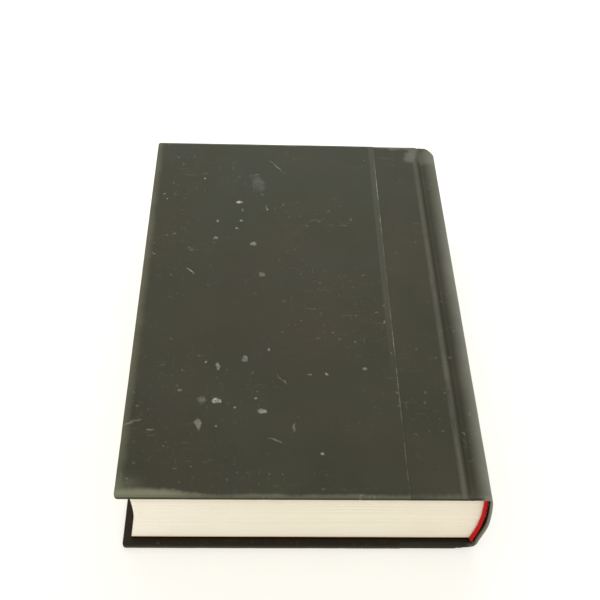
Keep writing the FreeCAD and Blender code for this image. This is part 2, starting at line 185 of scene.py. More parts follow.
def cover_with(nodes, height, depth, **sockets):
    """The surface shader, with the height as fine relief of that depth in metres."""
    named = {name.replace("_", " "): value for name, value in sockets.items()}
    named["Normal"] = nodes.add("ShaderNodeBump", {"Height": height, "Distance": depth, "Strength": 1.0})
    shader = nodes.add("ShaderNodeBsdfPrincipled", named)
    nodes.add("ShaderNodeOutputMaterial", {"Surface": shader})


def axes_of(nodes, place):
    """The three coordinates of a place, each by itself."""
    return [nodes.add("ShaderNodeSeparateXYZ", {"Vector": place}, out=axis) for axis in "XYZ"]


def leaf_finish():
    """Cream paper seen on its cut edges, each sheet in its own shade, with painted shade on the top leaves
    and a painted gap shadow, partly soil, on the lowest.
    """
    material, nodes, place = finish_named("leaf_edges")
    sheets = nodes.grain(place, (14, 14, 2400), detail=2.0)
    sections = nodes.grain(place, (3, 3, 330), detail=2.0, seed=2.0)
    clouds = nodes.grain(place, 28, seed=5.0)
    across, _, height = axes_of(nodes, place)
    low_leaves = nodes.step(height, block_low.z + 3.2 * MM, block_low.z + 1.2 * MM)
    # Painted shade on the top leaves, where the cover above shades them.
    shaded_top_leaves = nodes.step(height, block_high.z - 9 * MM, block_high.z - MM)
    # Painted near-black shadow, partly soil, along the lowest leaves in the gap above the board.
    gap_shadow_and_soil = nodes.step(height + clouds * 0.3 * MM, block_low.z + 1.4 * MM, block_low.z + 1.15 * MM)
    colour = nodes.layered(
        nodes.mix(sections, paint(247, 241, 227), paint(240, 233, 215)),
        (nodes.step(clouds, 0.45, 0.75) * 0.5, (234, 225, 202)),
        (nodes.step(sheets, 0.5, 0.8) * 0.22, (210, 195, 162)),
        (nodes.step(across, 0, block_low.x) * 0.5, (252, 248, 238)),
        (shaded_top_leaves * 0.6, (214, 209, 172)),
        (low_leaves * 0.6, (246, 216, 176)),
        (gap_shadow_and_soil, (24, 13, 7)),
    )
    cover_with(nodes, sheets, 0.06 * MM, Base_Color=colour, Roughness=0.85, Specular_IOR_Level=0.2)
    return material


def pattern(name, count, *sizes):
    """An empty Geometry Nodes tree with its inputs, first a whole number, and a wire from each."""
    tree = bpy.data.node_groups.new(name, "GeometryNodeTree")
    tree.interface.new_socket(count, in_out="INPUT", socket_type="NodeSocketInt")
    for label in sizes:
        tree.interface.new_socket(label, in_out="INPUT", socket_type="NodeSocketFloat")
    tree.interface.new_socket("Geometry", in_out="OUTPUT", socket_type="NodeSocketGeometry")
    nodes = Nodes(tree)
    entry = tree.nodes.new("NodeGroupInput")
    return tree, nodes, {label: Wire(nodes, entry.outputs[label]) for label in (count, *sizes)}


def end_pattern(nodes, shape, material):
    """Turns a tree's instances into one mesh of that material and ends the tree."""
    whole = nodes.add("GeometryNodeRealizeInstances", {"Geometry": shape})
    nodes.add("NodeGroupOutput", {
        "Geometry": nodes.add("GeometryNodeSetMaterial", {"Geometry": whole, "Material": material}),
    })


def placed(name, data):
    """An object with that mesh, light or camera, put in the scene."""
    item = bpy.data.objects.new(name, data)
    bpy.context.scene.collection.objects.link(item)
    return item


def made_by(tree, name, values):
    """A plain mesh object that holds what the tree makes with those values."""
    carrier = placed(f"{name}_carrier", bpy.data.meshes.new(f"{name}_carrier"))
    modifier = carrier.modifiers.new("pattern", "NODES")
    modifier.node_group = tree
    for item in tree.interface.items_tree:
        if item.in_out == "INPUT":
            modifier[item.identifier] = values[item.name]
    seen = carrier.evaluated_get(bpy.context.evaluated_depsgraph_get())
    mesh = bpy.data.meshes.new_from_object(seen)
    mesh.name = name
    bpy.data.objects.remove(carrier)
    return placed(name, mesh)


def bowed(size, height):
    """In a tree: how far towards the spine the back of the leaves lies at a height."""
    level = height - size["Round Z"]
    return (size["Round"] * size["Round"] - level * level) ** 0.5 + size["Round X"]


leaf_tree, nodes, size = pattern("leaf_stack", "Sheets", "Width", "Height", "Thick", "Lowest", "Round",
                                 "Round X", "Round Z", "Unevenness")
stack = nodes.add("GeometryNodeMeshLine", {
    "Count": size["Sheets"],
    "Start Location": nodes.vector(z=size["Lowest"] + size["Thick"] * 0.5),
    "Offset": nodes.vector(z=size["Thick"]),
})
height = axes_of(nodes, nodes.add("GeometryNodeInputPosition"))[2]
jog = nodes.add("FunctionNodeRandomValue", {"Min": (-1, -1, 0), "Max": (1, 1, 0), "Seed": 7},
                data_type="FLOAT_VECTOR")
jog = nodes.add("ShaderNodeVectorMath", {0: jog, "Scale": size["Unevenness"]}, operation="SCALE")
aside = nodes.vector(x=bowed(size, height) - size["Width"] * 0.5)
shift = nodes.add("ShaderNodeVectorMath", {0: aside, 1: jog}, operation="ADD")
stack = nodes.add("GeometryNodeSetPosition", {"Geometry": stack, "Offset": shift})
sheet_size = nodes.vector(size["Width"], size["Height"], size["Thick"])
one_sheet = nodes.add("GeometryNodeMeshCube", {"Size": sheet_size})
stack = nodes.add("GeometryNodeInstanceOnPoints", {"Points": stack, "Instance": one_sheet})
end_pattern(nodes, stack, leaf_finish())

sheet_count = 370
uneven = 0.06 * MM
leaves = made_by(leaf_tree, "leaves", {
    "Sheets": sheet_count,
    "Width": block_width - 2 * uneven,
    "Height": block_high.y - block_low.y - 2 * uneven,
    "Thick": 2 * leaf_top / sheet_count,
    "Lowest": block_low.z,
    "Round": leaf_round,
    "Round X": back_middle + leaf_x - uneven,
    "Round Z": leaf_middle + leaf_z,
    "Unevenness": uneven,
})
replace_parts(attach(leaves, "root"), "text_block")

# The case: greyboard in a dark covering paper, with a strip of book cloth that joins both boards
# over the loose spine card. First the cloth: one strip, cut here in two halves along the spine's
# middle. It is folded in over board and card at the ends.
hinge_x = frame["joints"][0]["pos_m"][0]
book_thick = cad_high.z
book_half = book_thick / 2
case_end = cad_high.y
cloth = 0.3 * MM
side_paper = 0.3 * MM
board = 2.4 * MM
spine_card = 0.5 * MM
turn_in = 15 * MM
quarter_width = 27.4 * MM
paper_overlap = 3.0 * MM
groove_depth = 2.3 * MM
groove_round = 1.4 * MM
groove_fill, end_fill = 0.45, 0.5
shoulder_set = 0.8 * MM
shoulder_round = 5.0 * MM
spine_bulge = 1.2 * MM
head_wear, tail_wear = 13 * MM, 7 * MM
cap_drawn = 3.4 * MM
lean_in, lean_up = 1.2 * MM, 0.8 * MM
sag_depth = 0.07 * MM
hinge_gap = 1.7 * MM
board_round = 0.9 * MM
edge_round = 0.8 * MM
row_step = 4 * MM
drawn_share = 0.95
sides = (("back", False), ("front", True))
arcs_sum = groove_round + shoulder_round
arcs_drop = arcs_sum - groove_depth + shoulder_set
shoulder_x = math.sqrt(arcs_sum ** 2 - arcs_drop ** 2)
shoulder_z = book_half - shoulder_set - shoulder_round
back_reach = shoulder_round + spine_bulge
back_round = (back_reach ** 2 + shoulder_z ** 2 - shoulder_round ** 2) / (2 * spine_bulge)
back_x = shoulder_x + back_reach - back_round


def arc(centre, radius, start, end, count):
    """Points and outward directions on an arc, without its last point."""
    found = []
    for index in range(count):
        turn = start + (end - start) * index / count
        along = Vector((math.cos(turn), math.sin(turn)))
        found.append((Vector(centre) + along * radius, along))
    return found


def case_section():
    """The cloth's outer line from the middle of the spine to under the paper, and its folded depth.

    Each entry is a point beside the hinge and above the book's middle, the outward direction there,
    the direction in which the cloth is folded under, and how deep it lies folded.
    """
    edge_x = -hinge_gap - board_round
    edge_z = book_half - side_paper - cloth - board_round
    around = board_round + cloth
    rise = book_half - groove_depth - edge_z
    joint_round = (edge_x ** 2 + rise ** 2 - around ** 2) / (2 * (groove_depth - side_paper))
    joint_z = book_half - groove_depth + joint_round
    groove_z = book_half - groove_depth + groove_round
    back_turn = math.atan2(shoulder_z, shoulder_x - back_x)
    shoulder_turn = math.atan2(arcs_drop, -shoulder_x)
    joint_turn = math.atan2(edge_z - joint_z, edge_x) % (2 * math.pi)
    quarter = math.pi / 2
    straight = Vector((0, 1))
    flat_z = book_half - side_paper
    turned_z = flat_z - board - cloth
    thin, carded = 2.2 * cloth, 2 * cloth + spine_card
    section = []
    for place, along in arc((back_x, 0), back_round, 0, back_turn, 12):
        section.append((place, along, along, carded))
    for index, (place, along) in enumerate(arc((shoulder_x, shoulder_z), shoulder_round, back_turn,
                                               shoulder_turn, 16)):
        if place.y - turned_z > thin:
            section.append((place, along, straight, place.y - turned_z))
        else:
            section.append((place, along, along, carded if index < 2 else thin))
    for place, along in arc((0, groove_z), groove_round, shoulder_turn - math.pi, -quarter, 5):
        section.append((place, -along, straight, place.y - turned_z))
    for place, along in arc((0, joint_z), joint_round, 3 * quarter, joint_turn, 14):
        section.append((place, -along, straight, place.y - turned_z))
    for place, along in arc((edge_x, edge_z), around, joint_turn - math.pi, quarter, 10):
        section.append((place, along, straight, place.y - turned_z))
    for index in range(13):
        flat_x = edge_x + (edge_x + quarter_width) * -index / 12
        section.append((Vector((flat_x, flat_z)), straight, straight, board + cloth))
    section.append((Vector((-quarter_width - paper_overlap, flat_z)), straight, straight, board + cloth))
    return section


def eased(value):
    """0 up to 0, 1 from 1 on, and smooth between them."""
    value = min(1.0, max(0.0, value))
    return value * value * (3 - 2 * value)


def worn_shape(place, y, is_front):
    """A point of the case's outline where use has brought it, and its place along the book.

    The joint's groove has filled up, most of all at the ends; the head cap is drawn in; the spine leans,
    so its lower shoulder has moved in and up.
    """
    head = -y if is_front else y
    near_head = eased((head - case_end) / head_wear + 1)
    near_tail = eased((-head - case_end) / tail_wear + 1)
    dip = max(0.0, book_half - shoulder_set - place.y) if place.x < shoulder_x else 0.0
    fill = dip * (groove_fill + end_fill * max(near_head, near_tail))
    drawn = cap_drawn * eased((place.x - 2.5 * MM) / (6 * MM)) * near_head
    lean = is_front * eased(place.y / shoulder_z) * eased(place.x / (4 * MM))
    moved = Vector((place.x - lean_in * lean, place.y + fill - lean_up * lean))
    return moved, y - drawn * (1 if y > 0 else -1)


def fold_line(depth):
    """The way over an end: how far short of it, how deep, and how far the cloth has turned there."""
    radius = min(edge_round, depth / 2)
    steps = [index * math.pi / 10 for index in range(6)]
    down = [(radius * (1 - math.sin(turn)), radius * (1 - math.cos(turn)), turn) for turn in steps]
    back = [(away, depth - deep, math.pi - turn) for away, deep, turn in reversed(down)]
    return down + back + [(turn_in, depth, math.pi)]


def closed_sheet(name, outer, inner, skipped=(), turned=None, filled=False):
    """A sheet with a front, a back and rims, from two equal grids of points.

    If it is folded in, turned tells for each column how far round it has gone; the mesh keeps that.
    If it is filled, the rows start on the rim of one flat face.
    """
    rows, columns = len(outer), len(outer[0])
    mesh = bmesh.new()
    layer = mesh.verts.layers.float.new("turned") if turned else None
    front, back = [[[mesh.verts.new(point) for point in row] for row in grid] for grid in (outer, inner)]
    for row in front + back if turned else []:
        for vert, share in zip(row, turned):
            vert[layer] = share
    cells = [(row, column) for row in range(rows - 1) for column in range(columns - 1)
             if (row, column) not in skipped]
    kept = set(cells)
    for row, column in cells:
        corners = ((row, column), (row + 1, column), (row + 1, column + 1), (row, column + 1))
        mesh.faces.new([front[r][c] for r, c in corners])
        mesh.faces.new([back[r][c] for r, c in reversed(corners)])
        beside = ((row, column - 1), (row + 1, column), (row, column + 1), (row - 1, column))
        for index, neighbour in enumerate(beside):
            if neighbour not in kept and not (filled and neighbour[1] < 0):
                (r0, c0), (r1, c1) = corners[index], corners[(index + 1) % 4]
                mesh.faces.new([front[r1][c1], front[r0][c0], back[r0][c0], back[r1][c1]])
    if filled:
        mesh.faces.new([row[0] for row in front])
        mesh.faces.new([row[0] for row in reversed(back)])
        mesh.faces.new([front[0][0], front[-1][0], back[-1][0], back[0][0]])
    loose = [vert for vert in mesh.verts if not vert.link_faces]
    bmesh.ops.delete(mesh, geom=loose, context="VERTS")
    return piece_from(mesh, name)


def piece_from(mesh, name):
    """An object in the scene from a finished bmesh, smooth but for its sharp folds."""
    bmesh.ops.remove_doubles(mesh, verts=mesh.verts, dist=0.002 * MM)
    bmesh.ops.recalc_face_normals(mesh, faces=mesh.faces)
    for face in mesh.faces:
        face.smooth = True
    for edge in mesh.edges:
        edge.smooth = len(edge.link_faces) == 2 and edge.calc_face_angle(0) < math.radians(50)
    made = bpy.data.meshes.new(name)
    mesh.to_mesh(made)
    mesh.free()
    return placed(name, made)


def turned_over(x, y, z, is_front):
    """A point of the back cover's piece, or its place in the front cover's, which is turned over."""
    return Vector((x, -y, book_thick - z) if is_front else (x, y, z))


def bend_at_joint(piece):
    """The piece's placement, baked into its mesh."""
    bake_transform(piece)


def long_rows(end):
    """Places along the book from one end to the other, closer together near the ends."""
    near = [0.0, 1.5 * MM, 3 * MM, 5 * MM, 8 * MM]
    count = int((end - near[-1]) / row_step)
    low = [-end + away for away in near[:-1]]
    middle = [-(end - near[-1]) * (1 - index / count) for index in range(2 * count + 1)]
    return low + middle + [-place for place in reversed(low)]


def quarter_cloth(name, is_front):
    """Half of the cloth strip, with its folded-in ends."""
    section = case_section()
    outer, inner = [], []
    for place, along, down, depth in section:
        fold = fold_line(depth)
        way = [(-case_end + away, deep, turn, -1) for away, deep, turn in reversed(fold)]
        way += [(y, 0.0, 0.0, 1) for y in long_rows(case_end - 2 * edge_round)]
        way += [(case_end - away, deep, turn, 1) for away, deep, turn in fold]
        outer_row, inner_row = [], []
        for y, deep, turn, end in way:
            facing = down if turn else along
            normal = Vector((facing.x * math.cos(turn), end * math.sin(turn), facing.y * math.cos(turn)))
            sag = sag_depth * noise.noise(Vector((place.x * 60, y * 45, is_front)))
            at, end_y = worn_shape(place, y, is_front)
            lower = 1 + (at.y - place.y) / depth if down.x == 0 else 1.0
            at += along * (sag if turn < 1 else 0) - down * deep * lower
            point = Vector((hinge_x + at.x, end_y, book_half + at.y))
            outer_row.append(turned_over(*point, is_front))
            inner_row.append(turned_over(*(point - normal * cloth * drawn_share), is_front))
        outer.append(outer_row)
        inner.append(inner_row)
    fold_cells = len(fold)
    last = len(section) - 2
    across = len(outer[0]) - 1
    skipped = {(last, column) for column in range(across)
               if column < fold_cells or column >= across - fold_cells}
    turned = [turn / math.pi for _, _, turn, _ in way]
    places = [entry[0] for entry in section]
    width = sum((after - before).length for before, after in zip(places, places[1:]))
    folded = turn_in - 2 * edge_round + math.pi * edge_round + board
    return closed_sheet(name, outer, inner, skipped, turned), (width, 2 * (case_end - edge_round + folded))


def case_places(nodes, place):
    """Where a spot of the case is: its coordinates, and how far in it lies from the ends."""
    across, along, height = axes_of(nodes, place)
    return across, along, height, case_end - nodes.maths("ABSOLUTE", along)


def dusty(nodes, place, colour):
    """Handling marks all over: faint short scuffs, mostly across the book, and specks of dust."""
    streaks = nodes.grain(place, (90, 420, 420), detail=4.0, rough=0.7, seed=3.0)
    slanted = nodes.add("ShaderNodeMapping", {"Vector": place, "Rotation": (0, 0, 0.8),
                                              "Scale": (60, 700, 60)})
    slanted = nodes.grain(slanted, 1.0, rough=0.6, seed=7.0)
    many = nodes.step(nodes.grain(place, 34, seed=8.0), 0.42, 0.62)
    upright = nodes.grain(place, (460, 150, 460), detail=4.0, rough=0.7, seed=13.0)
    for shown in (streaks, upright):
        colour = nodes.mix(nodes.step(shown, 0.59, 0.72) * many * 0.22, colour, paint(118, 118, 104))
    colour = nodes.mix(nodes.step(slanted, 0.66, 0.76) * many * 0.22, colour, paint(112, 112, 98))
    uneven = nodes.shaken(place, 300, 4 * MM)
    for scale, size, shade in ((75, 0.06, 0.2), (190, 0.08, 0.1)):
        away = nodes.add("ShaderNodeTexVoronoi", {"Vector": uneven, "Scale": scale},
                         voronoi_dimensions="2D")
        colour = nodes.mix(nodes.step(away, size, size * 0.4) * many * shade, colour,
                           paint(150, 150, 138))
    return colour


def marks_on(nodes, across, along, marks):
    """A mask of single marks: each is a spot in mm from the book's middle, its length and width,
    its turn in degrees, and how strongly it shows."""
    whole = None
    for x, y, length, width, turn, strength in marks:
        angle = math.radians(turn)
        dx, dy = across - x * MM, along - y * MM
        lengthwise = (dx * math.cos(angle) + dy * math.sin(angle)) / (length / 2 * MM)
        sidewise = (dy * math.cos(angle) - dx * math.sin(angle)) / (width / 2 * MM)
        spot = nodes.step(lengthwise * lengthwise + sidewise * sidewise, 1.6, 0.3) * strength
        whole = spot if whole is None else nodes.maths("MAXIMUM", whole, spot)
    return whole


head_marks = [
    (77.5, 110.5, 14, 12, 0, 0.5),
    (67.8, 111.5, 13, 7.5, 62, 0.85),
    (58.0, 118.0, 27, 3, -3, 0.8),
]


def cloth_finish():
    """Dark filled book cloth, fine and close, rubbed grey at ends and back; painted highlight, partly rub,
    at the fold; painted shade in groove, end walls, turn-ins.
    """
    material, nodes, place = finish_named("quarter_cloth")
    across, along, height, away = case_places(nodes, place)
    clouds = nodes.grain(place, 30, detail=4.0, seed=4.0)
    rub = nodes.grain(place, (260, 60, 260), detail=4.0, rough=0.65, seed=6.0)
    inside = nodes.step(away, 2 * MM, 12 * MM)
    turned = nodes.add("ShaderNodeAttribute", out=2, attribute_name="turned")
    outside = nodes.maths("MAXIMUM", nodes.step(turned, 0.95, 0.7), nodes.step(away, 2.4 * MM, 1.2 * MM))
    worn = nodes.step(nodes.grain(place, 70, detail=5.0, seed=11.0), 0.38, 0.64)
    nearer = nodes.step(along, 100 * MM, 0)
    from_face = nodes.maths("ABSOLUTE", height - book_half)
    on_face = nodes.step(from_face, book_half - 1.3 * MM, book_half - 0.7 * MM)
    on_spine = nodes.step(across, hinge_x + 3 * MM, hinge_x + 6 * MM)
    # Painted highlight, partly rub, on the board's edge beside the joint's groove.
    ridge_highlight_and_rub = on_face * nodes.step(across, hinge_x - 5.9 * MM, hinge_x - 4.2 * MM)
    ridge_highlight_and_rub = ridge_highlight_and_rub * nodes.step(across, hinge_x - 2.2 * MM, hinge_x - 3.7 * MM)
    ridge_highlight_and_rub = ridge_highlight_and_rub * nodes.step(along, case_end - 4 * MM, case_end - 16 * MM)
    ridge_highlight_and_rub = ridge_highlight_and_rub * (nodes.step(along, 90 * MM, -60 * MM) * 0.35 + 0.65)
    # Painted shade in the bottom of the joint's groove.
    groove_shade = nodes.step(across, hinge_x - 3.0 * MM, hinge_x - 1.4 * MM)
    groove_shade = groove_shade * nodes.step(across, hinge_x + 3.6 * MM, hinge_x + 1.4 * MM) * inside
    back = nodes.step(across + clouds * 2 * MM, hinge_x + 1.5 * MM, hinge_x + 11 * MM) * outside
    back = back * (nearer * 0.32 + 0.68)
    mark_x, mark_y, _ = axes_of(nodes, nodes.shaken(place, 150, 6 * MM))
    patches = marks_on(nodes, mark_x - 1.5 * MM, mark_y - 4.5 * MM, head_marks)
    # Painted shade on the cloth's end walls.
    wall_shading = (1 - on_face) * (1 - on_spine) * outside * nodes.step(away, 2 * MM, MM)
    ends = nodes.step(away + rub * 3 * MM, 4.2 * MM, 0.6 * MM)
    ends = ends * nodes.maths("MAXIMUM", on_face * (worn * 0.22 + 0.16), on_spine * 0.65) * outside
    colour = nodes.layered(
        nodes.mix(nodes.step(clouds, 0.3, 0.7), paint(48, 48, 34), paint(55, 52, 39)),
        (ridge_highlight_and_rub * nodes.step(rub, 0.2, 0.6) * 0.28, (118, 116, 102)),
        (groove_shade * nearer * 0.2, (42, 36, 27)),
        (back * (worn * 0.1 + rub * 0.12 + 0.5), (140, 142, 129)),
        (patches * (rub * 0.3 + 0.12) * outside, (144, 148, 136)),
        (wall_shading * 0.4, (26, 23, 19)),
        (ends, (132, 130, 114)),
    )
    # The folded-in cloth gets painted shade.
    colour = nodes.layered(dusty(nodes, place, colour), ((1 - outside) * 0.8, (28, 23, 16)))
    weave = {"Vector": place, "Scale": 520.0, "Distortion": 1.2, "Detail": 1.0, "Detail Scale": 3.0}
    warp, weft = [nodes.add("ShaderNodeTexWave", weave, bands_direction=way) for way in "XY"]
    relief = warp * 0.5 + weft * 0.5 + clouds * 0.6
    roughness = 0.62 - ridge_highlight_and_rub * 0.08 + rub * 0.1
    cover_with(nodes, relief, 0.05 * MM, Base_Color=colour, Roughness=roughness, Specular_IOR_Level=0.17)
    return material


quarter_finish = cloth_finish()
for side, is_front in sides:
    strip, strip_size = quarter_cloth(f"{side}_quarter_cloth", is_front)
    strip.data.materials.append(quarter_finish)
    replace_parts(strip, f"{side}_joint_cloth")
    if not is_front:
        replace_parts(strip, "spine_cloth")
    bend_at_joint(strip)

# The covering paper of each board: dark matt paper glued over the board and over the edge of the
# cloth, turned in on three sides with mitred corners. It is scuffed, dusty and rubbed at its edges.
reach = hinge_x - cad_low.x
seam = hinge_x - quarter_width
corner_round = 1.6 * MM
rim_width = 14 * MM
bump_height = 0.10 * MM


def paper_edge():
    """The paper's outline from the seam round the three open edges, as corner and straight stretches.

    Each entry is a base point that lies in from the edge, the direction straight out from it, and the
    way in which the corner of an outline further in lies.
    """
    fore, end = hinge_x - reach, case_end
    inset = corner_round
    line = []
    count = 42
    for index in range(count):
        x = seam + (fore + inset - seam) * index / count
        line.append((Vector((x, inset - end)), Vector((0, -1)), Vector((0, -1))))
    for index in range(7):
        turn = -math.pi / 2 - math.pi / 2 * index / 6
        out = Vector((math.cos(turn), math.sin(turn)))
        line.append((Vector((fore + inset, inset - end)), out, Vector((-1, -1))))
    for y in long_rows(end - inset)[1:-1]:
        line.append((Vector((fore + inset, y)), Vector((-1, 0)), Vector((-1, 0))))
    upper = [(Vector((base.x, -base.y)), Vector((out.x, -out.y)), Vector((corner.x, -corner.y)))
             for base, out, corner in reversed(line[:count + 7])]
    return line + upper


def covering_paper(name, is_front):
    """The paper of one cover, from its flat face over the edges to its turned-in margin."""
    depth = 2 * side_paper + board
    fold = fold_line(depth)
    face_rows = [(away, 0.0, 0.0) for away in (rim_width, 9 * MM, 5 * MM, 3 * MM, corner_round)]
    outer, inner = [], []
    for base, out, corner in paper_edge():
        outer_row, inner_row = [], []
        for away, deep, turn in face_rows + fold:
            further = corner_round - away
            aim = out * further if further >= 0 else corner * further
            mitred = away if away > corner_round else 0.0
            end = case_end - mitred
            x = max(base.x + aim.x, cad_low.x + mitred)
            y = min(max(base.y + aim.y, -end), end)
            knock = noise.noise(Vector((x * 55, y * 55, 3 + is_front)))
            press = noise.noise(Vector((x * 140, y * 140, 9 + is_front)))
            rim = 1 - min(1, away / rim_width)
            lift = (knock - 0.5 * abs(press)) * bump_height * rim if turn < 1 else 0.0
            push = out * bump_height * min(0.0, press) * max(0.0, 1 - away / corner_round)
            point = Vector((x + push.x, y + push.y, book_thick - deep + lift))
            normal = Vector((out.x * math.sin(turn), out.y * math.sin(turn), math.cos(turn)))
            outer_row.append(turned_over(*point, is_front))
            inner_row.append(turned_over(*(point - normal * side_paper * drawn_share), is_front))
        outer.append(outer_row)
        inner.append(inner_row)
    return closed_sheet(name, outer, inner, filled=True)


def paper_finish(name, marks, corner_rub):
    """Dark matt covering paper: an olive grey that varies in clouds, with rubbed edges and marks, painted
    highlights on the walls and the partly worn seam, and painted shade on the turn-in.
    """
    material, nodes, place = finish_named(name)
    across, along, height, away = case_places(nodes, place)
    clouds = nodes.grain(place, 22, detail=5.0, rough=0.6, seed=4.0)
    warm = nodes.step(nodes.grain(place, 11, detail=2.0, seed=9.0), 0.45, 0.65)
    cool = nodes.step(nodes.grain(place, 16, seed=15.0), 0.48, 0.65)
    blue = nodes.step(nodes.grain(place, 24, detail=2.0, seed=21.0), 0.56, 0.7)
    fibre = nodes.grain(place, 320, detail=5.0, rough=0.65, seed=6.0)
    torn = nodes.grain(place, 75, detail=4.0, rough=0.6, seed=2.0)
    from_fore = across - cad_low.x
    from_face = nodes.maths("ABSOLUTE", height - book_half)
    on_face = nodes.step(from_face, book_half - 1.2 * MM, book_half - 0.6 * MM)
    ragged = nodes.grain(place, 240, detail=4.0, rough=0.7, seed=12.0)
    corner_size, strength = corner_rub
    worn = nodes.step(from_fore + torn * 30 * MM, corner_size * 2.6 * MM, corner_size * 1.5 * MM)
    worn = worn * nodes.step(along, 20 * MM, -60 * MM)
    wavy = (away + torn * 3 * MM + ragged * 2 * MM) / (worn * 0.7 + 1.0)
    end_rub = nodes.step(wavy, 4.4 * MM, 2.5 * MM) * (worn * 0.2 + 0.33)
    fore_rub = nodes.step(from_fore + torn * 4 * MM, 7 * MM, MM) * 0.28
    edge_rub = nodes.maths("MAXIMUM", end_rub, fore_rub) * on_face
    near_corner = nodes.step(from_fore + torn * 14 * MM, corner_size * MM, 5 * MM)
    near_corner = near_corner * nodes.step(away + ragged * 9 * MM, corner_size * 0.9 * MM, 5 * MM)
    near_corner = near_corner * nodes.step(along, 0.0, -50 * MM) * on_face
    # Painted shade on the turned-in paper and the lower part of the edge walls.
    turn_in_shade = nodes.step(from_face, book_half - 1.6 * MM, book_half - 2.6 * MM)
    # Painted highlight on the upper part of the edge walls.
    wall_shading = nodes.step(from_face, book_half - 0.5 * MM, book_half - 1.4 * MM) * (1 - turn_in_shade)
    broken = nodes.grain(place, (60, 150, 60), detail=4.0, rough=0.7, seed=5.0)
    # The seam line: painted highlight on the paper's raised edge, partly worn white.
    seam_highlight_and_rub = nodes.step(across + (broken - 0.5) * 1.4 * MM, seam - 0.55 * MM, seam - 0.25 * MM)
    far_stretch = nodes.step(along, 102 * MM, 92 * MM) * nodes.step(along, 40 * MM, 62 * MM)
    near_stretch = nodes.step(along, -10 * MM, -28 * MM) * nodes.step(along, -80 * MM, -50 * MM) * 0.5
    bright = nodes.maths("MAXIMUM", far_stretch, near_stretch) * 0.42 + 0.16
    bright = bright * (nodes.step(broken, 0.42, 0.6) * 0.8 + 0.2)
    lap = nodes.step(across, seam - 3.4 * MM, seam - 2.8 * MM)
    mark_x, mark_y, _ = axes_of(nodes, nodes.shaken(place, 300, 3 * MM))
    spots = marks_on(nodes, mark_x - 1.3 * MM, mark_y - 1.5 * MM, marks)
    spots = spots * nodes.step(fibre, 0.3, 0.58)
    colour = nodes.layered(
        nodes.mix(nodes.step(clouds, 0.3, 0.7), paint(45, 46, 31), paint(54, 53, 39)),
        (warm * 0.45, (56, 48, 36)),
        (cool * 0.45, (45, 52, 40)),
        (blue * 0.35, (50, 53, 49)),
        (edge_rub * strength, (138, 137, 112)),
        (near_corner * 0.5 * strength, (112, 116, 92)),
        (wall_shading * 0.5, (72, 68, 52)),
        (turn_in_shade * 0.8, (36, 27, 17)),
        (seam_highlight_and_rub * bright * strength, (150, 150, 132)),
        (lap * nodes.step(along, -70 * MM, 0) * 0.12, (110, 110, 96)),
        (spots, (168, 168, 155)),
    )
    colour = dusty(nodes, place, colour)
    relief = fibre * 0.6 + torn * 0.4 + spots * 0.6
    roughness = 0.6 + clouds * 0.12 - edge_rub * 0.2
    cover_with(nodes, relief, 0.08 * MM, Base_Color=colour, Roughness=roughness, Specular_IOR_Level=0.16)
    return material


back_marks = [
    (-33.5, 68.6, 3.6, 2.0, 5, 0.9),
    (-31.2, 62.0, 1.5, 3.5, 10, 0.2),
    (-53.4, 88.3, 1.0, 1.0, 0, 0.7),
    (-74.8, 74.3, 1.0, 1.3, 0, 0.35),
    (-73.1, 70.2, 0.9, 1.2, 0, 0.45),
    (-44.5, 52.7, 1.2, 1.8, 0, 0.4),
    (-31.8, 53.0, 1.1, 1.4, 0, 0.6),
    (-34.1, 47.4, 1.5, 1.6, 0, 0.45),
    (-45.1, 39.3, 2.4, 2.2, 0, 0.35),
    (-76.9, 26.7, 1.8, 1.0, 160, 0.7),
    (-17.8, 64.0, 1.0, 4.5, 20, 0.4),
    (-56.9, 14.2, 6.4, 0.8, -44, 0.5),
    (-12.5, 99.7, 13.5, 0.8, -53, 0.25),
    (-22.6, 84.0, 7.0, 13.0, 15, 0.09),
    (-24.8, 92.0, 6.0, 1.6, 15, 0.2),
    (-24.7, 35.0, 3.6, 2.2, 20, 0.35),
    (-20.2, 12.5, 3.0, 3.2, 0, 0.25),
    (-40.2, -69.8, 4.2, 2.8, 10, 0.95),
    (-40.5, -49.0, 1.8, 5.0, 10, 0.4),
    (-46.0, -46.7, 1.2, 1.2, 0, 0.5),
    (-27.8, -44.5, 2.4, 3.6, 0, 0.3),
    (-16.2, -38.5, 1.0, 2.2, 0, 0.35),
    (-48.2, -83.0, 2.6, 6.5, 8, 0.3),
    (-47.2, -69.5, 4.0, 4.4, 0, 0.2),
    (-31.9, -73.4, 0.9, 1.0, 0, 0.5),
    (-19.4, -75.3, 4.0, 2.6, -20, 0.5),
    (-21.9, -67.9, 1.1, 1.2, 0, 0.5),
    (-57.5, -63.6, 2.2, 2.0, 0, 0.35),
    (3.0, -54.0, 2.2, 1.2, 0, 0.35),
    (11.0, -53.6, 1.4, 2.0, 0, 0.45),
    (-10.2, -57.0, 7.0, 0.8, -50, 0.2),
    (-4.7, -84.5, 1.2, 5.0, 0, 0.22),
    (7.6, -98.6, 1.5, 1.5, 0, 0.45),
    (-13.2, -91.5, 7.0, 1.0, -25, 0.2),
    (-39.7, -83.9, 1.1, 1.1, 0, 0.4),
    (-69.2, -86.0, 3.4, 1.1, 10, 0.25),
    (-77.2, -82.0, 8.0, 1.4, 25, 0.25),
    (29.3, -50.0, 2.0, 1.6, 0, 0.3),
    (40.9, -19.7, 1.0, 2.4, 0, 0.3),
]
front_marks = [
    (-40, 60, 5, 3, 20, 0.5),
    (10, -30, 4, 2, 70, 0.4),
    (-60, -70, 8, 2, 150, 0.3),
    (-5, 15, 14, 1.2, 35, 0.2),
    (25, 85, 5, 3, 0, 0.4),
]
